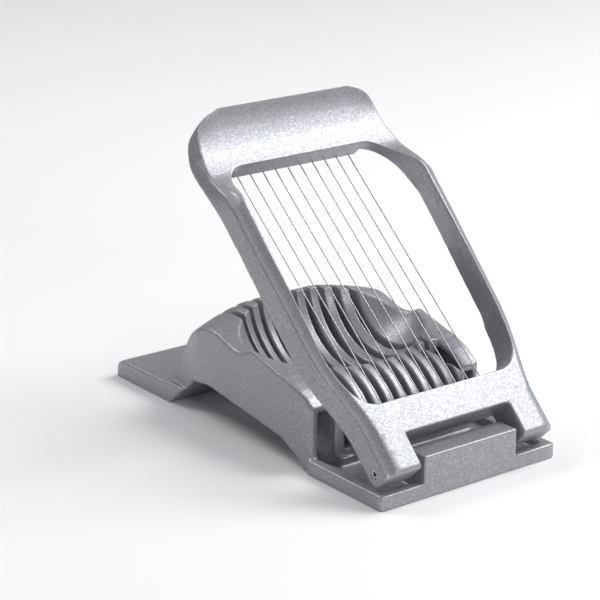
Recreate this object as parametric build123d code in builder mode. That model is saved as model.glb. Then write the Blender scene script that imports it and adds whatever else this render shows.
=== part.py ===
from build123d import *
import math
import os

os.makedirs("parts", exist_ok=True)

# Egg slicer. Millimetres, +Z up, the front (hinge end) towards -Y.
# Origin: on the table, straight below the middle of the hinge axis.

# ---------------------------------------------------------------- driving dimensions
plate_half = 40.0            # half width of the front plate
wall_half = 39.4             # half width of the body and the rear tab
front_y = -6.2               # front edge of the plate
rear_y = 155.6               # rear end of the tab
hinge_z = 11.4               # height of the hinge axis
rest_angle = 45.2            # frame above the table as it is modelled, degrees

rim_top = 5.5                # plate rim
rim_width = 4.4
floor_top = 2.5              # sunk floor of the plate
block_half = 21.0            # hinge block
block_depth = 12.4
block_top = 15.5

comb_y = 27.8                # front ends of the ribs
corner_y = 33.7              # front ends of the side walls
wall = 3.6                   # side wall thickness
wall_draw = 1.2              # the side walls draw in by this at their front ends
rear_draw = 3.4              # and by this at their rear ends
rear_draw_y = 101.0
skin = 3.0                   # casting thickness over the hollows
cheek = 3.0                  # solid beside the outermost slots
crest_z = 36.2               # highest line of the side walls
rib_z = 41.8                 # highest line of the ribs
tab_top = 7.5
arch_front = 39.4            # the arch under the body, along the table
arch_rear = 119.8

cradle_y = 69.0              # egg cradle: an ellipse turned about a line across the body
cradle_z = 47.0
cradle_radius = 29.5
cradle_half = 41.0

wire_count = 10
wire_pitch = 5.66
wire_radius = 0.22
wire_drop = 0.8              # wires' line below the hinge axis, measured at the axis
wire_tilt = 4.6              # wires' line below the frame's plane, degrees
slot_width = 2.3
slot_floor = 8.0
slot_open_front = 46.0       # between these the slots run right through
slot_open_rear = 111.0

pin_radius = 1.5
pin_hole = 0.85
pin_slit = 0.7
pin_inner_end = 12.0
ear_fit = 0.01               # the pin is tight in the ear by this radius
block_fit = 0.05             # and runs in the block with this clearance

# frame casting, in its own plane: x across, v away from the hinge axis, w up from it
ear_inner = 23.5
ear_outer = 38.0
ear_end = -4.4
ear_bottom = -4.4
top_w = 7.1                  # top of the bars
bar_half = 45.0              # outer half width of the side bars
bar_slope = 2.5              # the bars fall by this from the window to the outside
window_half = 40.3
window_low = 21.2
window_high = 123.4
notch_v = 8.9                # the notch round the hinge block
handle_end = 143.6
handle_w = 0.2               # flat part of the handle
keel_w = -5.5                # lowest line under the bars
skirt_half = 34.5            # the cross bar is hollow underneath between its skirts
cross_bar = 3.5              # thickness of the cross bar's plate

seat_half = 29.0             # wire seats and the clamps under them
lip = 2.0                    # toothed edge of a seat
tooth = 0.6                  # teeth reach this far past the wires
tooth_gap = 0.6              # width of the gaps between the teeth
lower_seat = 14.0            # where the lower seat starts
upper_seat = 131.0           # where the upper seat ends
clamp_half = 28.4
clamp_thickness = 1.0
clamp_width = 5.0
screw_x = 4 * wire_pitch     # half way between two wires
screw_radius = 1.2
screw_hole = 1.3             # hole in the clamp
screw_head_radius = 2.1
screw_head = 0.7
screw_length = 5.0           # under the head
screw_slot = 0.5

wire_xs = [(i - (wire_count - 1) / 2) * wire_pitch for i in range(wire_count)]
bottom_clamp_v = lower_seat + clamp_width / 2
top_clamp_v = window_high + lip + 0.2 + clamp_width / 2
bore_depth = screw_length - clamp_thickness

tilt_cos = math.cos(math.radians(rest_angle))
tilt_sin = math.sin(math.radians(rest_angle))
frame_up = (0, -tilt_sin, tilt_cos)
frame_along = (0, tilt_cos, tilt_sin)
wire_slope = math.tan(math.radians(wire_tilt))
wire_cos = math.cos(math.radians(wire_tilt))
wire_angle = rest_angle - wire_tilt


def frame_plane(w):
    """Plane parallel to the cutting frame, w above the hinge axis: local x across, local y = v."""
    origin = (0, frame_up[1] * w, hinge_z + frame_up[2] * w)
    return Plane(origin=origin, x_dir=(1, 0, 0), z_dir=frame_up)


def side_plane(x):
    """Upright plane at x, square to the hinge axis: local x = v, local y = w."""
    return Plane(origin=(x, 0, hinge_z), x_dir=frame_along, z_dir=(1, 0, 0))


def wire_w(v, above=0.0):
    """Height w, at a distance v from the hinge axis, of a line above the wires' centre line."""
    return -wire_drop - wire_slope * v + above / wire_cos


def clamp_face(v, below=0.0):
    """Plane under the wires' centre line at v, z pointing down and out of the frame."""
    down = (0, math.sin(math.radians(wire_angle)), -math.cos(math.radians(wire_angle)))
    return Plane(origin=frame_point(0, v, wire_w(v)), x_dir=(1, 0, 0), z_dir=down).offset(below)


def frame_point(x, v, w):
    """Point of the cutting frame in the object's own coordinates."""
    y = frame_along[1] * v + frame_up[1] * w
    z = frame_along[2] * v + frame_up[2] * w
    return (x, y, hinge_z + z)


# ---------------------------------------------------------------- shapes cut from the castings
def cradle_shape(grow):
    """The cradle's ellipsoid, grown all round."""
    with BuildPart() as shape:
        with BuildSketch(Plane.XZ.offset(-cradle_y)):
            with Locations((0, cradle_z)):
                Ellipse(cradle_half + grow, cradle_radius + grow)
                Rectangle(200, 100, align=(Align.CENTER, Align.MIN), mode=Mode.SUBTRACT)
        revolve(axis=Axis((0, cradle_y, cradle_z), (1, 0, 0)), revolution_arc=360)
    return shape.part


egg_space = cradle_shape(0.0)
cradle_shell = cradle_shape(skin)

hollow_inner = max(wire_xs) + slot_width / 2 + cheek
hollow_outer = wall_half - wall

# the hollow beside the ribs: open to the front and below, closed by the skin above
with BuildPart() as hollow:
    with BuildSketch(Plane.YZ.offset(hollow_inner)):
        with BuildLine():
            roof = Bezier(
                (comb_y + 6, 20.0),
                (36.0, 28.0 - skin),
                (42.0, 30.1 - skin),
                (48.0, 31.2 - skin),
            )
            roof_rear = Bezier(
                roof @ 1,
                (63.0, 33.9 - skin),
                (80.0, crest_z - skin),
                (93.0, crest_z - skin),
            )
            Polyline(
                roof_rear @ 1,
                (103.0, 28.0),
                (106.0, 8.0),
                (106.0, -1.0),
                (comb_y + 6, -1.0),
                (comb_y + 6, floor_top),
                (comb_y - 2, floor_top),
                (comb_y - 2, 20.0),
                roof @ 0,
            )
        make_face()
    extrude(amount=hollow_outer - hollow_inner)
    add(cradle_shell, mode=Mode.SUBTRACT)

# what stays under the crowned top: (y, height at the side walls, height in the middle)
crown_sections = (
    (-20.0, 45.0, 46.0),
    (20.0, 38.0, 39.0),
    (48.0, 31.4, 32.4),
    (70.0, 34.3, 36.8),
    (90.0, 36.0, 41.6),
    (99.0, 34.8, 42.2),
    (107.5, 28.9, 38.6),
    (114.5, 18.6, 27.0),
    (123.5, 8.2, 14.0),
    (127.0, 8.4, 13.0),
)
with BuildPart() as crown:
    for y, side_z, middle_z in crown_sections:
        with BuildSketch(Plane.XZ.offset(-y)):
            with BuildLine():
                arch = ThreePointArc((-wall_half - 1, side_z), (0, middle_z), (wall_half + 1, side_z))
                Polyline(
                    arch @ 1,
                    (wall_half + 1, -1.0),
                    (-wall_half - 1, -1.0),
                    arch @ 0,
                )
            make_face()
    loft()
    # over the tab the crown leaves everything
    with Locations((0, 124.0, -1.0)):
        Box(2 * wall_half + 2, 40, 15, align=(Align.CENTER, Align.MIN, Align.MIN))

# ---------------------------------------------------------------- base casting
with BuildPart() as base_casting:
    # body and rear tab: one side profile across the width
    with BuildSketch(Plane.YZ):
        with BuildLine():
            front = Line((comb_y, 0), (comb_y, 13.0))
            brow = Bezier(front @ 1, (comb_y, 22.0), (38.0, 29.4), (48.0, 31.2))
            crest = Bezier(brow @ 1, (63.0, 34.2), (84.0, rib_z), (97.0, rib_z))
            rump = Bezier(crest @ 1, (113.5, rib_z), (116.0, tab_top), (123.5, tab_top))
            Polyline(
                rump @ 1,
                (rear_y - 4.0, tab_top),
                (rear_y - 1.0, tab_top - 1.6),
                (rear_y, tab_top - 4.0),
                (rear_y, 0),
                (arch_rear, 0),
                (105.0, 12.8),
                (95.0, 14.4),
                (50.0, 8.4),
                (42.0, 4.0),
                (arch_front, 0),
                front @ 0,
            )
        make_face()
    extrude(amount=wall_half, both=True)
    # the top is crowned across, most of all behind the cradle
    add(crown.part, mode=Mode.INTERSECT)
    # the front bows out from the side walls to the ribs
    with BuildSketch(Plane.XY.offset(floor_top)):
        for side in (-1, 1):
            with BuildLine():
                bow_in = TangentArc(
                    (side * 20.0, comb_y),
                    (side * 28.5, (comb_y + corner_y) / 2),
                    tangent=(side, 0),
                )
                bow_out = TangentArc(bow_in @ 1, (side * 37.0, corner_y), tangent=bow_in % 1)
                Polyline(
                    bow_out @ 1,
                    (side * 41.0, corner_y),
                    (side * 41.0, comb_y - 5),
                    (side * 20.0, comb_y - 5),
                    bow_in @ 0,
                )
            make_face()
    extrude(amount=40, mode=Mode.SUBTRACT)
    # the side walls draw in at both ends, to stay inside the frame's window
    with BuildSketch(Plane.XY.offset(tab_top + 0.5)):
        for side in (-1, 1):
            with BuildLine():
                Polyline(
                    (side * wall_half, rear_draw_y),
                    (side * (wall_half - rear_draw), rear_draw_y + 16),
                    (side * (wall_half - rear_draw), rear_draw_y + 26),
                    (side * (wall_half + 1), rear_draw_y + 26),
                    (side * (wall_half + 1), rear_draw_y),
                    close=True,
                )
            make_face()
    extrude(amount=40, mode=Mode.SUBTRACT)
    with BuildSketch(Plane.XY.offset(rim_top)):
        for side in (-1, 1):
            with BuildLine():
                Polyline(
                    (side * (wall_half - wall_draw), corner_y),
                    (side * wall_half, corner_y + 12),
                    (side * (wall_half + 1), corner_y + 12),
                    (side * (wall_half + 1), corner_y - 6),
                    (side * (wall_half - wall_draw), corner_y - 6),
                    close=True,
                )
            make_face()
    extrude(amount=40, mode=Mode.SUBTRACT)
    # front plate, its rim, and the sunk floor that the frame's ears move over
    with BuildSketch():
        with Locations((0, (front_y + corner_y + 2) / 2)):
            RectangleRounded(2 * plate_half, corner_y + 2 - front_y, 2.0)
    extrude(amount=rim_top)
    with BuildSketch(Plane.XY.offset(floor_top)):
        with Locations((0, (front_y + rim_width + comb_y) / 2)):
            Rectangle(2 * (plate_half - rim_width), comb_y - front_y - rim_width)
        for side in (-1, 1):
            with Locations((side * (plate_half - rim_width - 3), comb_y + 1)):
                Rectangle(6, 6)
    extrude(amount=rim_top, mode=Mode.SUBTRACT)
    # hinge block
    with BuildSketch(Plane.YZ):
        with BuildLine():
            block_face = Line((front_y, 0), (front_y, block_top))
            block_lid = Line(block_face @ 1, (front_y + block_depth - 5, block_top))
            block_back = TangentArc(block_lid @ 1, (front_y + block_depth, block_top - 5), tangent=(1, 0))
            Polyline(block_back @ 1, (front_y + block_depth, 0), block_face @ 0)
        make_face()
    extrude(amount=block_half, both=True)

    # side hollows, egg cradle and slots for the wires
    add(hollow.part, mode=Mode.SUBTRACT)
    add(mirror(hollow.part, about=Plane.YZ), mode=Mode.SUBTRACT)
    add(egg_space, mode=Mode.SUBTRACT)
    with BuildSketch(Plane.XY.offset(slot_floor)):
        with Locations([(x, (comb_y + rear_y) / 2 - 20) for x in wire_xs]):
            Rectangle(slot_width, rear_y - comb_y - 20)
    extrude(amount=40, mode=Mode.SUBTRACT)
    with BuildSketch():
        with Locations([(x, (slot_open_front + slot_open_rear) / 2) for x in wire_xs]):
            Rectangle(slot_width, slot_open_rear - slot_open_front)
    extrude(amount=40, mode=Mode.SUBTRACT)
    # pin bores in the block
    with Locations(Location((0, 0, hinge_z), (0, 90, 0))):
        Cylinder(pin_radius + block_fit, 2 * block_half, mode=Mode.SUBTRACT)

base_casting.part.label = "base_casting"
export_step(base_casting.part, "parts/base_casting.step")

# ---------------------------------------------------------------- frame casting
with BuildPart() as frame_casting:
    # plan of the frame
    with BuildSketch(frame_plane(-16)):
        with BuildLine():
            nose = Polyline(
                (0, notch_v),
                (ear_inner, notch_v),
                (ear_inner, ear_end),
                (ear_outer, ear_end),
                (ear_outer, 12.0),
            )
            swell = Bezier(nose @ 1, (ear_outer, 20.0), (bar_half - 1.1, 34.0), (bar_half - 1, 48.0))
            bar = Line(swell @ 1, (bar_half + 0.4, 100.0))
            taper = Bezier(bar @ 1, (bar_half + 0.8, 114.0), (bar_half, 122.0), (44.0, 129.0))
            corner = Bezier(taper @ 1, (42.7, 137.5), (38.5, handle_end), (31.0, handle_end))
            Line(corner @ 1, (0, handle_end))
            mirror(about=Plane.YZ)
        make_face()
    extrude(amount=30)
    # side view of the frame
    with BuildSketch(side_plane(0)):
        with BuildLine():
            roof_line = Line((ear_end + 1.5, top_w), (104.0, top_w))
            handle_top = Bezier(roof_line @ 1, (112.0, top_w), (117.0, handle_w), (129.0, handle_w))
            handle_lip = Bezier(handle_top @ 1, (135.5, handle_w), (140.5, 2.9), (handle_end, 5.6))
            handle_back = Polyline(
                handle_lip @ 1,
                (handle_end - 0.1, 4.3),
                (141.6, -0.6),
                (139.6, -5.4),
                (138.0, -6.8),
                (129.0, -8.4),
            )
            keel_rear = Bezier(handle_back @ 1, (120.0, -8.4), (114.0, -4.1), (100.0, -4.1))
            keel = Bezier(keel_rear @ 1, (82.0, -4.1), (62.0, keel_w), (46.0, keel_w))
            keel_front = Bezier(keel @ 1, (36.0, keel_w), (28.0, ear_bottom), (19.0, ear_bottom))
            ear_line = Line(keel_front @ 1, (ear_end + 3.4, ear_bottom))
            ear_round = TangentArc(ear_line @ 1, (ear_end, ear_bottom + 3.4), tangent=(-1, 0))
            ear_face = Line(ear_round @ 1, (ear_end, top_w - 1.5))
            TangentArc(ear_face @ 1, roof_line @ 0, tangent=(0, 1))
        make_face()
    extrude(amount=60, both=True, mode=Mode.INTERSECT)
    # the bars slope down from the window to the outside
    with BuildSketch(Plane(origin=frame_point(0, -10, 0), x_dir=(1, 0, 0), z_dir=frame_along)):
        for side in (-1, 1):
            with BuildLine():
                Polyline(
                    (side * (window_half + 0.8), -top_w),
                    (side * (bar_half + 0.1), bar_slope - top_w),
                    (side * (bar_half + 4), bar_slope - top_w),
                    (side * (bar_half + 4), -top_w - 4),
                    (side * (window_half + 0.8), -top_w - 4),
                    close=True,
                )
            make_face()
    extrude(amount=150, mode=Mode.SUBTRACT)
    # window
    with BuildSketch(frame_plane(-16)):
        with BuildLine():
            sill = Line((0, window_low), (26.5, window_low))
            low_corner = Bezier(
                sill @ 1,
                (34.5, window_low),
                (window_half, 28.0),
                (window_half, 48.0),
            )
            jamb = Line(low_corner @ 1, (window_half, 102.0))
            high_corner = Bezier(
                jamb @ 1,
                (window_half, 114.0),
                (35.5, window_high),
                (27.0, window_high),
            )
            Line(high_corner @ 1, (0, window_high))
            mirror(about=Plane.YZ)
        make_face()
    extrude(amount=30, mode=Mode.SUBTRACT)
    # hollows under the cross bar and under the handle
    with BuildSketch(frame_plane(-16)):
        with Locations((0, (notch_v + 3 + window_low + 1) / 2)):
            Rectangle(2 * skirt_half, window_low + 1 - notch_v - 3)
    extrude(amount=16 + top_w - cross_bar, mode=Mode.SUBTRACT)
    with BuildSketch(side_plane(0)):
        with BuildLine():
            Polyline(
                (upper_seat, -14.0),
                (upper_seat, -2.9),
                (136.6, -1.9),
                (135.2, -7.0),
                (135.2, -14.0),
                close=True,
            )
        make_face()
    extrude(amount=skirt_half - 0.5, both=True, mode=Mode.SUBTRACT)
    # wire seats: a flat face over the wires and a toothed lip at the window
    with BuildSketch(side_plane(0)):
        with BuildLine():
            Polyline(
                (lower_seat, wire_w(lower_seat, wire_radius)),
                (window_low - lip, wire_w(window_low - lip, wire_radius)),
                (window_low - lip, wire_w(window_low - lip, -wire_radius - tooth)),
                (window_low, wire_w(window_low, -wire_radius - tooth)),
                (window_low, top_w - cross_bar + 0.5),
                (lower_seat, top_w - cross_bar + 0.5),
                close=True,
            )
        make_face()
        with BuildLine():
            Polyline(
                (upper_seat, wire_w(upper_seat, wire_radius)),
                (window_high + lip, wire_w(window_high + lip, wire_radius)),
                (window_high + lip, wire_w(window_high + lip, -wire_radius - tooth)),
                (window_high, wire_w(window_high, -wire_radius - tooth)),
                (window_high, -4.0),
                (upper_seat, -4.0),
                close=True,
            )
        make_face()
    extrude(amount=seat_half, both=True)
    # gaps between the teeth, one for each wire
    for v in (window_low - lip, window_high):
        gap_plane = Plane(origin=frame_point(0, v - 0.1, 0), x_dir=(1, 0, 0), z_dir=frame_along)
        low = min(wire_w(v), wire_w(v + lip)) - 2
        high = wire_w(v, wire_radius)
        with BuildSketch(gap_plane):
            with Locations([(x, -(low + high) / 2) for x in wire_xs]):
                Rectangle(tooth_gap, high - low)
        extrude(amount=lip + 0.2, mode=Mode.SUBTRACT)
    # bores for the hinge pins and the clamp screws
    with Locations(Location((0, 0, hinge_z), (0, 90, 0))):
        Cylinder(pin_radius - ear_fit, 2 * ear_outer + 2, mode=Mode.SUBTRACT)
    for v in (bottom_clamp_v, top_clamp_v):
        with BuildSketch(clamp_face(v, wire_radius)):
            with Locations((-screw_x, 0), (screw_x, 0)):
                Circle(screw_radius)
        extrude(amount=-bore_depth, mode=Mode.SUBTRACT)

frame_casting.part.label = "frame_casting"
export_step(frame_casting.part, "parts/frame_casting.step")

# ---------------------------------------------------------------- wires, from seat to seat
for number, x in enumerate(wire_xs, start=1):
    wire_start = frame_point(x, lower_seat + 0.5, wire_w(lower_seat + 0.5))
    wire_end = frame_point(x, upper_seat - 0.5, wire_w(upper_seat - 0.5))
    with BuildPart() as wire:
        with BuildLine():
            run = Line(wire_start, wire_end)
        with BuildSketch(Plane(origin=run @ 0, z_dir=run % 0)):
            Circle(wire_radius)
        sweep()
    wire.part.label = f"wire_{number:02d}"
    export_step(wire.part, f"parts/wire_{number:02d}.step")

# ---------------------------------------------------------------- clamps under the wires' ends

with BuildPart() as bottom_wire_clamp:
    with BuildSketch(clamp_face(bottom_clamp_v, wire_radius)):
        RectangleRounded(2 * clamp_half, clamp_width - 0.3, 0.8)
        with Locations((-screw_x, 0), (screw_x, 0)):
            Circle(screw_hole, mode=Mode.SUBTRACT)
    extrude(amount=clamp_thickness)

bottom_wire_clamp.part.label = "bottom_wire_clamp"
export_step(bottom_wire_clamp.part, "parts/bottom_wire_clamp.step")

with BuildPart() as top_wire_clamp:
    with BuildSketch(clamp_face(top_clamp_v, wire_radius)):
        RectangleRounded(2 * clamp_half, clamp_width - 0.3, 0.8)
        with Locations((-screw_x, 0), (screw_x, 0)):
            Circle(screw_hole, mode=Mode.SUBTRACT)
    extrude(amount=clamp_thickness)

top_wire_clamp.part.label = "top_wire_clamp"
export_step(top_wire_clamp.part, "parts/top_wire_clamp.step")

# ---------------------------------------------------------------- clamp screws: slotted pan heads
with BuildPart() as bottom_clamp_screws:
    with BuildSketch(clamp_face(bottom_clamp_v, wire_radius + clamp_thickness)):
        with Locations((-screw_x, 0), (screw_x, 0)):
            Circle(screw_radius)
    extrude(amount=-screw_length)
    with BuildSketch(clamp_face(bottom_clamp_v, wire_radius + clamp_thickness)):
        with Locations((-screw_x, 0), (screw_x, 0)):
            Circle(screw_head_radius)
    extrude(amount=screw_head)
    with BuildSketch(clamp_face(bottom_clamp_v, wire_radius + clamp_thickness + screw_head)):
        with Locations((-screw_x, 0), (screw_x, 0)):
            Rectangle(2 * screw_head_radius + 1, screw_slot)
    extrude(amount=-screw_head / 2, mode=Mode.SUBTRACT)

bottom_clamp_screws.part.label = "bottom_clamp_screws"
export_step(bottom_clamp_screws.part, "parts/bottom_clamp_screws.step")

with BuildPart() as top_clamp_screws:
    with BuildSketch(clamp_face(top_clamp_v, wire_radius + clamp_thickness)):
        with Locations((-screw_x, 0), (screw_x, 0)):
            Circle(screw_radius)
    extrude(amount=-screw_length)
    with BuildSketch(clamp_face(top_clamp_v, wire_radius + clamp_thickness)):
        with Locations((-screw_x, 0), (screw_x, 0)):
            Circle(screw_head_radius)
    extrude(amount=screw_head)
    with BuildSketch(clamp_face(top_clamp_v, wire_radius + clamp_thickness + screw_head)):
        with Locations((-screw_x, 0), (screw_x, 0)):
            Rectangle(2 * screw_head_radius + 1, screw_slot)
    extrude(amount=-screw_head / 2, mode=Mode.SUBTRACT)

top_clamp_screws.part.label = "top_clamp_screws"
export_step(top_clamp_screws.part, "parts/top_clamp_screws.step")

# ---------------------------------------------------------------- hinge pins: slotted spring pins
pin_length = ear_outer - pin_inner_end
pin_middle = (ear_outer + pin_inner_end) / 2

with BuildPart() as hinge_pin_right:
    with Locations(Location((pin_middle, 0, hinge_z), (0, 90, 0))):
        Cylinder(pin_radius, pin_length)
        Cylinder(pin_hole, pin_length, mode=Mode.SUBTRACT)
    with Locations((pin_middle, 0, hinge_z)):
        Box(
            pin_length,
            2 * pin_radius,
            pin_slit,
            align=(Align.CENTER, Align.MAX, Align.CENTER),
            mode=Mode.SUBTRACT,
        )

hinge_pin_right.part.label = "hinge_pin_right"
export_step(hinge_pin_right.part, "parts/hinge_pin_right.step")

with BuildPart() as hinge_pin_left:
    add(mirror(hinge_pin_right.part, about=Plane.YZ))

hinge_pin_left.part.label = "hinge_pin_left"
export_step(hinge_pin_left.part, "parts/hinge_pin_left.step")
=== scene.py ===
import math

import bmesh
import bpy
import numpy as np
from mathutils import Matrix, Vector


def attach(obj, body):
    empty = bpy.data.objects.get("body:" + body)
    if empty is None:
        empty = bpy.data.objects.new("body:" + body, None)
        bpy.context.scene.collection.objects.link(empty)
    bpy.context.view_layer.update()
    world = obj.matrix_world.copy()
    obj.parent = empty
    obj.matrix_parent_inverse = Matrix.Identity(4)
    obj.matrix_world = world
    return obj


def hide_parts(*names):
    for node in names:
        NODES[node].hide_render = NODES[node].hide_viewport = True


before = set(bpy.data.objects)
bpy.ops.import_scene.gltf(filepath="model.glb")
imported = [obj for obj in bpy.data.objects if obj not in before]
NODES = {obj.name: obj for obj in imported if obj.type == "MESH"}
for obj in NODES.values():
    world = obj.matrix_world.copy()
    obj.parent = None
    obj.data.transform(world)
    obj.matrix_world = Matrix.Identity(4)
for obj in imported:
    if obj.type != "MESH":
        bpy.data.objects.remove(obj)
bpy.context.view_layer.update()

MM = 0.001
HINGE = Vector((0.0, 0.0, 11.4 * MM))   # a point on the hinge axis, which runs along X
FRAME_ANGLE = math.radians(45.2)        # the cutting frame above the table at rest
ALONG = Vector((0.0, math.cos(FRAME_ANGLE), math.sin(FRAME_ANGLE)))   # from the hinge to the handle
UP = Vector((0.0, -math.sin(FRAME_ANGLE), math.cos(FRAME_ANGLE)))     # square to the frame, off the base


# ------------------------------------------------------------------ materials
def new_material(name):
    """A node material with an empty Principled shader; returns material, tree and shader."""
    material = bpy.data.materials.new(name)
    material.use_nodes = True
    tree = material.node_tree
    shader = next(n for n in tree.nodes if n.type == "BSDF_PRINCIPLED")
    return material, tree, shader


def add_node(tree, kind, inputs=None, **settings):
    """A new node with these settings and these constants on its inputs."""
    node = tree.nodes.new(kind)
    for key, value in settings.items():
        setattr(node, key, value)
    for key, value in (inputs or {}).items():
        node.inputs[key].default_value = value
    return node


def object_noise(tree, scale, detail=2.0, roughness=0.5, stretch=(1.0, 1.0, 1.0)):
    """Noise in the object's own metres, with `scale` cells to the metre."""
    place = add_node(tree, "ShaderNodeTexCoord")
    mapping = add_node(tree, "ShaderNodeMapping", {"Scale": stretch})
    noise = add_node(tree, "ShaderNodeTexNoise", {"Scale": scale, "Detail": detail, "Roughness": roughness})
    tree.links.new(place.outputs["Object"], mapping.inputs["Vector"])
    tree.links.new(mapping.outputs["Vector"], noise.inputs["Vector"])
    return noise.outputs["Fac"]


def ramp(tree, source, low, high, values):
    """Maps source from low..high onto the two numbers in values."""
    node = add_node(tree, "ShaderNodeMapRange", {
        "From Min": low, "From Max": high, "To Min": values[0], "To Max": values[1]})
    tree.links.new(source, node.inputs["Value"])
    return node.outputs["Result"]


def colour_ramp(tree, source, stops):
    """Maps source onto a colour through stops of (position, colour)."""
    node = add_node(tree, "ShaderNodeValToRGB")
    ends = node.color_ramp.elements
    ends[0].position, ends[0].color = stops[0][0], (*stops[0][1], 1.0)
    ends[1].position, ends[1].color = stops[-1][0], (*stops[-1][1], 1.0)
    for position, colour in stops[1:-1]:
        stop = ends.new(position)
        stop.color = (*colour, 1.0)
    tree.links.new(source, node.inputs["Fac"])
    return node.outputs["Color"]


def bumps(tree, shader, layers):
    """Chains bump nodes, one per (height, strength, distance), into the shader's normal."""
    normal = None
    for height, strength, distance in layers:
        bump = add_node(tree, "ShaderNodeBump", {"Strength": strength, "Distance": distance})
        tree.links.new(height, bump.inputs["Height"])
        if normal is not None:
            tree.links.new(normal, bump.inputs["Normal"])
        normal = bump.outputs["Normal"]
    tree.links.new(normal, shader.inputs["Normal"])


def metallic_paint():
    """Silver metallic paint on a casting: fine flakes, soft clouds and a slight orange peel."""
    material, tree, shader = new_material("silver_metallic_paint")
    shader.inputs["Metallic"].default_value = 0.45
    shader.inputs["Coat Weight"].default_value = 0.1
    shader.inputs["Coat Roughness"].default_value = 0.22
    clouds = object_noise(tree, 40.0, 4.0, 0.55)
    grain = object_noise(tree, 1500.0, 2.0, 0.55)
    flakes = object_noise(tree, 4600.0, 1.0, 0.5)
    base = colour_ramp(tree, clouds, [
        (0.30, (0.30, 0.305, 0.33)), (0.55, (0.33, 0.335, 0.36)), (0.78, (0.36, 0.365, 0.39))])
    sparkle = colour_ramp(tree, grain, [
        (0.34, (0.20, 0.205, 0.225)), (0.52, (0.33, 0.335, 0.36)), (0.70, (0.60, 0.60, 0.63))])
    mix = add_node(tree, "ShaderNodeMix", {"Factor": 0.42}, data_type="RGBA", blend_type="MIX")
    tree.links.new(base, mix.inputs[6])
    tree.links.new(sparkle, mix.inputs[7])
    tree.links.new(mix.outputs[2], shader.inputs["Base Color"])
    tree.links.new(ramp(tree, grain, 0.3, 0.7, (0.48, 0.34)), shader.inputs["Roughness"])
    bumps(tree, shader, [(flakes, 0.12, 0.00004), (grain, 0.10, 0.0001)])
    return material


def drawn_steel():
    """Stainless wire with fine drawing lines along it."""
    material, tree, shader = new_material("drawn_steel_wire")
    shader.inputs["Metallic"].default_value = 1.0
    lines = object_noise(tree, 9000.0, 2.0, 0.6, (1.0, 0.02, 0.02))
    tone = colour_ramp(tree, lines, [(0.3, (0.30, 0.30, 0.31)), (0.7, (0.47, 0.47, 0.48))])
    tree.links.new(tone, shader.inputs["Base Color"])
    tree.links.new(ramp(tree, lines, 0.3, 0.7, (0.22, 0.36)), shader.inputs["Roughness"])
    bumps(tree, shader, [(lines, 0.15, 0.00002)])
    return material


def plain_steel():
    """Bright zinc-grey steel of the screws, clamps and hinge pins, with light scuffs."""
    material, tree, shader = new_material("plain_steel")
    shader.inputs["Metallic"].default_value = 1.0
    grain = object_noise(tree, 3200.0, 3.0, 0.6, (0.08, 1.0, 1.0))
    stain = object_noise(tree, 260.0, 4.0, 0.6)
    tone = colour_ramp(tree, stain, [(0.3, (0.47, 0.47, 0.47)), (0.7, (0.62, 0.62, 0.61))])
    tree.links.new(tone, shader.inputs["Base Color"])
    tree.links.new(ramp(tree, grain, 0.3, 0.7, (0.24, 0.42)), shader.inputs["Roughness"])
    bumps(tree, shader, [(grain, 0.12, 0.00003)])
    return material


paint = metallic_paint()
wire_steel = drawn_steel()
fixing_steel = plain_steel()


# ------------------------------------------------------------------ meshes
WELD = 2e-6                             # metres: CAD face corners closer than this are one point
SMOOTHING = 0.5                         # factor of every smoothing round
CAST_TRIANGLES = 190000                 # how many each casting is thinned to
BASE_VOXEL, BASE_ROUNDS, BASE_MORE_ROUNDS = 0.45 * MM, 5, 14
FRAME_VOXEL, FRAME_ROUNDS, FRAME_MORE_ROUNDS = 0.34 * MM, 7, 8
BEVEL_SEGMENTS = 3
BEVEL_FROM = math.radians(40)           # edges that turn more than this are broken
SOFT_LEVELS = 4                         # steps of the weight with which a point is smoothed further


def welded_copy(name, node):
    """A new object with a copy of a CAD node's mesh, its face corners joined up."""
    mesh = bpy.data.meshes.new(name)
    work = bmesh.new()
    work.from_mesh(NODES[node].data)
    bmesh.ops.remove_doubles(work, verts=work.verts, dist=WELD)
    bmesh.ops.recalc_face_normals(work, faces=work.faces)
    work.to_mesh(mesh)
    work.free()
    piece = bpy.data.objects.new(name, mesh)
    bpy.context.scene.collection.objects.link(piece)
    return piece


def apply_modifiers(piece):
    """Replaces a piece's mesh by what its modifiers give."""
    graph = bpy.context.evaluated_depsgraph_get()
    result = bpy.data.meshes.new_from_object(piece.evaluated_get(graph), depsgraph=graph)
    result.name = piece.name
    old = piece.data
    piece.modifiers.clear()
    piece.data = result
    bpy.data.meshes.remove(old)


def points_of(piece):
    """A piece's vertices, one row each, in metres."""
    points = np.empty(len(piece.data.vertices) * 3)
    piece.data.vertices.foreach_get("co", points)
    return points.reshape(-1, 3)


def set_points(piece, points):
    """Moves a piece's vertices to these rows."""
    piece.data.vertices.foreach_set("co", points.ravel())
    piece.data.update()


def dress(piece, material, body, *nodes):
    """Material, smooth shading, body, and the CAD nodes that the piece stands for."""
    piece.data.materials.clear()
    piece.data.materials.append(material)
    for polygon in piece.data.polygons:
        polygon.use_smooth = True
    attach(piece, body)
    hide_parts(*nodes)


def smooth_step(value, low, high):
    """0 below low, 1 above high, and a smooth rise between them."""
    part = np.clip((value - low) / (high - low), 0.0, 1.0)
    return part * part * (3.0 - 2.0 * part)


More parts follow.
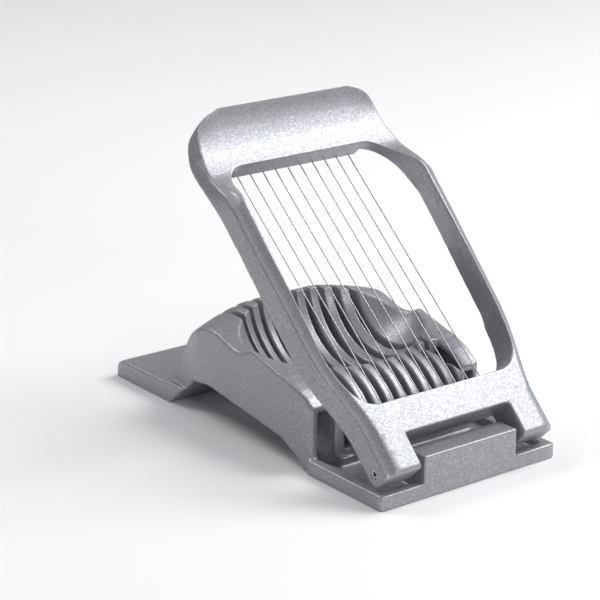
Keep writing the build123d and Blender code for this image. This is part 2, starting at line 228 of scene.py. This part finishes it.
def soften_more(piece, weights, rounds):
    """Rounds the edges further, most where weights is 1 and not at all where it is 0."""
    group = piece.vertex_groups.new(name="soft")
    for level in range(1, SOFT_LEVELS + 1):
        chosen = np.nonzero(np.round(weights * SOFT_LEVELS) == level)[0]
        group.add(chosen.tolist(), level / SOFT_LEVELS, "REPLACE")
    smooth = piece.modifiers.new("more", "SMOOTH")
    smooth.factor = SMOOTHING
    smooth.iterations = rounds
    smooth.vertex_group = "soft"
    apply_modifiers(piece)
    piece.vertex_groups.clear()


# the base (mm): where further rounding begins and where it is full
BESIDE_RIBS_X = (28.5, 31.0)
BEHIND_BORES_Y = (10.0, 14.0)
TAB_Y = (126.0, 129.0)
FRONT_RIM_BACKWARDS = (-12.0, -9.0)     # of -y, so the rim is what lies in front of y = 9
FRONT_RIM_X = (21.5, 23.5)
OFF_THE_TABLE_Z = (0.4, 2.2)


def base_softness(points):
    """The outside of the base is rounded more than its ribs and the pin bores."""
    x, y, z = np.abs(points[:, 0]) / MM, points[:, 1] / MM, points[:, 2] / MM
    outside = smooth_step(x, *BESIDE_RIBS_X) * smooth_step(y, *BEHIND_BORES_Y)
    tab = smooth_step(y, *TAB_Y)
    rim = smooth_step(-y, *FRONT_RIM_BACKWARDS) * smooth_step(x, *FRONT_RIM_X)
    standing = smooth_step(z, *OFF_THE_TABLE_Z)
    return np.clip(outside + tab + rim, 0.0, 1.0) * standing


# (distance along the frame from the hinge, value), both in mm: half the outline's width, the lowest
# line, the CAD's top, and how far the crest lies inside the outline (negative) at each place
OUTLINE = ((-5, 38), (12, 38), (20, 39.4), (28, 41.4), (36, 43.0), (48, 44.0), (100, 45.4), (114, 45.5),
           (122, 45.0), (129, 44.0), (134, 42.3), (138, 40.2), (141, 37.4), (143, 33.8), (144, 31.0))
BOTTOM = ((-5, -4.4), (20, -4.4), (46, -5.5), (62, -5.3), (82, -4.4), (100, -4.1), (114, -5.6),
          (120, -7.2), (129, -8.4), (145, -8.4))
TOP = ((104, 7.1), (109.6, 6.0), (115, 3.65), (121.2, 1.3), (129, 0.2), (133.5, 0.45),
       (137.6, 1.9), (140.9, 3.6), (143.6, 5.6))
CREST = ((104, 0.0), (110, -1.0), (120, -2.0), (130, -2.4), (136, -1.4), (141, 0.0))


# the frame (mm), v along it, w above its hinge line, x from its middle: where further rounding
# begins and where it is full
ABOVE_SEATS_W = (-5.0, -3.0)
BESIDE_SEATS_X = (32.5, 34.0)
TOWARDS_PIN = (-4.2, -3.2)              # of minus the distance: the bore's wall isn't rounded further

BAR_TOP = 7.1                           # the CAD's crest above the hinge line
BAR_SLOPE = 2.5                         # how far the top falls towards its outer edge
BAR_HOLLOW = 0.45                       # how hollow that slope is
BAR_SLOPE_WIDTH = 3.7
CAD_SLOPE_X, CAD_SLOPE_WIDTH = 41.1, 3.9
HANDLE_V = (104, 120)                   # from the bars into the handle
HANDLE_DROP = 3.2                       # the handle's top is this much lower than the CAD's
FLANK_X = 29.5                          # the flanks are shaped outside this
FLARE, FLARE_V = 0.5, (118, 128)        # the handle's lower edge is this much wider
END_V = (133, 142)                      # the handle's end
END_REACH, END_LEAN = 1.0, 0.8          # how far it moves outwards, and how much more at its top
END_FADE = 0.8                          # and how much of that is lost towards the corners
WINDOW_DRAFT = 1.3                      # each side of the window is this much further out at the bottom
DRAFT_TOP_W, DRAFT_DEPTH = 3.0, 7.0     # the draft begins at this height and is full this much lower
DRAFT_NEAR_V, DRAFT_FAR_V = (40, 48), (98, 106)     # where it begins and ends along the frame
DRAFT_FROM_X = 37                       # the bars lie outside this
DRAFT_TO_X, DRAFT_FADE = 43.2, 2.2      # inside the bars it fades out over this width and ends here


def along(table, v):
    """A table's value at each distance v along the frame."""
    return np.interp(v, [a for a, _ in table], [b for _, b in table])


def along_and_up(points):
    """Distances along the frame and above its hinge line, and the points themselves, in mm."""
    local = (points - np.array(HINGE)) / MM
    return local @ np.array(ALONG), local @ np.array(UP), local


def frame_softness(points):
    """The frame's outside is rounded further than the wire seats and the pin bores."""
    v, w, local = along_and_up(points)
    x = np.abs(local[:, 0])
    outside = np.maximum(smooth_step(w, *ABOVE_SEATS_W), smooth_step(x, *BESIDE_SEATS_X))
    return outside * (1 - smooth_step(-np.hypot(v, w), *TOWARDS_PIN))


def shape_frame(piece):
    """Sloping bars and ears, a handle lower than the CAD's with its flanks, and the window's draft."""
    soften_more(piece, frame_softness(points_of(piece)), FRAME_MORE_ROUNDS)
    points = points_of(piece)
    v, w, local = along_and_up(points)
    side, x = np.sign(local[:, 0]), np.abs(local[:, 0])
    outline, bottom, top = along(OUTLINE, v), along(BOTTOM, v), along(TOP, v)
    # the outer edge slopes down, slightly hollow, and runs on into the lower handle
    outward = np.clip(1 - (outline - x) / BAR_SLOPE_WIDTH, 0, 1)
    handle = smooth_step(v, *HANDLE_V)
    fall = BAR_SLOPE * outward + BAR_HOLLOW * np.sin(np.pi * outward)
    wanted = top - fall * (1 - handle) - HANDLE_DROP * handle
    cad_fall = BAR_SLOPE * np.clip((x - CAD_SLOPE_X) / CAD_SLOPE_WIDTH, 0, 1)
    present = np.minimum(top, BAR_TOP - cad_fall)
    height = np.clip((w - bottom) / (present - bottom), 0, 1)
    w = w - np.maximum(present - wanted, 0) * height
    # flanks and end of the handle
    outer = np.clip((x - FLANK_X) / (outline - FLANK_X), 0, 1)
    x = x + (along(CREST, v) * height ** 2 + FLARE * (1 - height) * smooth_step(v, *FLARE_V)) * outer
    v = v + (END_REACH + END_LEAN * height) * smooth_step(v, *END_V) * (1 - END_FADE * outer)
    # the window widens downwards
    bar = smooth_step(v, *DRAFT_NEAR_V) * (1 - smooth_step(v, *DRAFT_FAR_V)) * (x > DRAFT_FROM_X)
    depth = np.clip((DRAFT_TOP_W - w) / DRAFT_DEPTH, 0, 1)
    x = x + WINDOW_DRAFT * depth * np.clip((DRAFT_TO_X - x) / DRAFT_FADE, 0, 1) * bar
    local = (np.outer(side * x, (1.0, 0.0, 0.0)) + np.outer(v, ALONG) + np.outer(w, UP)) * MM
    set_points(piece, local + np.array(HINGE))


# side views (y, z in mm) of the front end of each side wall and of the skin beside the ribs
WALL_TOP = ((33.7, 24.3), (37.0, 26.8), (40.6, 28.7), (44.4, 30.1), (47.0, 30.8))
WALL_END = WALL_TOP + ((47.0, 6.9), (42.0, 4.1), (38.5, 0.2), (34.5, 0.2), (33.7, 2.0))
SKIN = 2.4
SKIN_END = WALL_TOP + tuple((y, z - SKIN) for y, z in reversed(WALL_TOP))
DRAW_IN_Y = (33.7, 45.7)                # the walls' outer faces come closer together towards the front
WALL_OUTER_X, WALL_INNER_X = (38.2, 39.4), 35.6
SKIN_OUTER_X, SKIN_INNER_X = (37.0, 37.0), 30.4


def add_plate(work, outline, outer_x, inner_x):
    """A closed solid with this side view, between outer_x (at the two ends of DRAW_IN_Y) and inner_x."""
    outer = [(np.interp(y, DRAW_IN_Y, outer_x), y, z) for y, z in outline]
    inner = [(inner_x, y, z) for y, z in outline]
    rings = [[work.verts.new(Vector(p) * MM) for p in ring] for ring in (outer, inner)]
    faces = [work.faces.new(ring) for ring in rings]
    count = len(outline)
    for i in range(count):
        j = (i + 1) % count
        faces.append(work.faces.new((rings[0][i], rings[0][j], rings[1][j], rings[1][i])))
    bmesh.ops.recalc_face_normals(work, faces=faces)


def add_wall_ends(piece):
    """Closes a gap: the CAD's side walls and the skin beside the ribs stop short of the front plate.

    The closed solids overlap what is there, and the remesh in cast_mesh makes one surface of them.
    """
    work = bmesh.new()
    work.from_mesh(piece.data)
    for side in (-1, 1):
        add_plate(work, WALL_END, [side * x for x in WALL_OUTER_X], side * WALL_INNER_X)
        add_plate(work, SKIN_END, [side * x for x in SKIN_OUTER_X], side * SKIN_INNER_X)
    work.to_mesh(piece.data)
    work.free()


def cast_mesh(name, node, voxel, rounds, shape, complete=None):
    """A casting's mesh: the CAD shape with every edge softened as in a die-cast part.

    complete adds what the CAD lacks before the remesh, and shape moves the points after it.
    """
    piece = welded_copy(name, node)
    if complete:
        complete(piece)
    remesh = piece.modifiers.new("remesh", "REMESH")
    remesh.mode = "VOXEL"
    remesh.voxel_size = voxel
    soften = piece.modifiers.new("soften", "SMOOTH")
    soften.factor = SMOOTHING
    soften.iterations = rounds
    apply_modifiers(piece)
    shape(piece)
    thin = piece.modifiers.new("thin", "DECIMATE")
    thin.ratio = min(1.0, CAST_TRIANGLES / max(1, 2 * len(piece.data.polygons)))
    apply_modifiers(piece)
    return piece


def shape_base(piece):
    """Only rounds the outside further."""
    soften_more(piece, base_softness(points_of(piece)), BASE_MORE_ROUNDS)


base = cast_mesh("base_casting_body", "base_casting", BASE_VOXEL, BASE_ROUNDS, shape_base, add_wall_ends)
dress(base, paint, "base", "base_casting")

cutting_frame = cast_mesh("frame_casting_body", "frame_casting", FRAME_VOXEL, FRAME_ROUNDS, shape_frame)
dress(cutting_frame, paint, "cutting_frame", "frame_casting")


def add_fixing(name, node, material, width):
    """A small turned or pressed part: the CAD shape with its edges broken."""
    piece = welded_copy(name, node)
    bevel = piece.modifiers.new("bevel", "BEVEL")
    bevel.width = width
    bevel.segments = BEVEL_SEGMENTS
    bevel.limit_method = "ANGLE"
    bevel.angle_limit = BEVEL_FROM
    apply_modifiers(piece)
    dress(piece, material, "cutting_frame", node)


for node in ("hinge_pin_left", "hinge_pin_right"):
    add_fixing(node + "_sleeve", node, fixing_steel, 0.12 * MM)
for node in ("top_wire_clamp", "bottom_wire_clamp"):
    add_fixing(node + "_strip", node, fixing_steel, 0.15 * MM)
for node in ("top_clamp_screws", "bottom_clamp_screws"):
    add_fixing(node + "_pair", node, fixing_steel, 0.1 * MM)
for node, thing in NODES.items():
    if node.startswith("wire_"):
        for material_slot in thing.material_slots:
            material_slot.material = wire_steel

# ------------------------------------------------------------------ floor, light and camera
FLOOR_HALF = 3.0
FLOOR_CORNERS = [(x * FLOOR_HALF, y * FLOOR_HALF, 0) for x, y in ((-1, -1), (1, -1), (1, 1), (-1, 1))]
ground = bpy.data.meshes.new("floor")
ground.from_pydata(FLOOR_CORNERS, [], [(0, 1, 2, 3)])
floor = bpy.data.objects.new("floor", ground)
bpy.context.scene.collection.objects.link(floor)
floor_material, floor_tree, floor_shader = new_material("pale_floor")
tint = colour_ramp(floor_tree, object_noise(floor_tree, 3.0, 2.0), [
    (0.3, (0.86, 0.86, 0.87)), (0.7, (0.88, 0.88, 0.885))])
floor_tree.links.new(tint, floor_shader.inputs["Base Color"])
floor_shader.inputs["Roughness"].default_value = 0.6
ground.materials.append(floor_material)

world = bpy.data.worlds.new("studio")
world.use_nodes = True
sky = next(n for n in world.node_tree.nodes if n.type == "BACKGROUND")
sky.inputs["Color"].default_value = (0.93, 0.96, 1.0, 1.0)
sky.inputs["Strength"].default_value = 0.28
bpy.context.scene.world = world
bpy.context.scene.view_settings.view_transform = "Standard"


def soft_light(name, place, target, size, power):
    """A rectangular area light at place, in metres, that faces target; power in watts."""
    lamp = bpy.data.lights.new(name, "AREA")
    lamp.shape = "RECTANGLE"
    lamp.size, lamp.size_y = size
    lamp.energy = power
    thing = bpy.data.objects.new(name, lamp)
    thing.location = place
    thing.rotation_mode = "QUATERNION"
    thing.rotation_quaternion = (Vector(target) - Vector(place)).to_track_quat("-Z", "Y")
    bpy.context.scene.collection.objects.link(thing)


MIDDLE = (0.0, 0.07, 0.04)              # of the slicer
soft_light("key_softbox", (0.85, -0.25, 1.05), MIDDLE, (0.9, 0.9), 18.0)
soft_light("left_softbox", (-0.45, 1.00, 1.20), MIDDLE, (0.7, 0.7), 7.0)
soft_light("front_softbox", (-0.20, -1.20, 0.60), MIDDLE, (0.6, 0.5), 5.0)

# the photo's camera: where it stands, its heading from +Y towards +X, how far it looks down, its tilt
CAMERA_AT = Vector((-0.4723, -0.5209, 0.3028))
YAW, PITCH, ROLL = 0.6578, 0.3271, 0.005

camera_data = bpy.data.cameras.new("camera")
camera_data.sensor_width = 36.0
camera_data.lens = 132.0
camera_data.clip_start = 0.01
camera_data.clip_end = 20.0
camera = bpy.data.objects.new("camera", camera_data)
look = Vector((math.sin(YAW) * math.cos(PITCH), math.cos(YAW) * math.cos(PITCH), -math.sin(PITCH)))
level_right = look.cross(Vector((0, 0, 1))).normalized()
level_top = level_right.cross(look)
right = level_right * math.cos(ROLL) + level_top * math.sin(ROLL)
top = level_top * math.cos(ROLL) - level_right * math.sin(ROLL)
camera.matrix_world = Matrix((
    (right.x, top.x, -look.x, CAMERA_AT.x),
    (right.y, top.y, -look.y, CAMERA_AT.y),
    (right.z, top.z, -look.z, CAMERA_AT.z),
    (0.0, 0.0, 0.0, 1.0)))
bpy.context.scene.collection.objects.link(camera)
bpy.context.scene.camera = camera
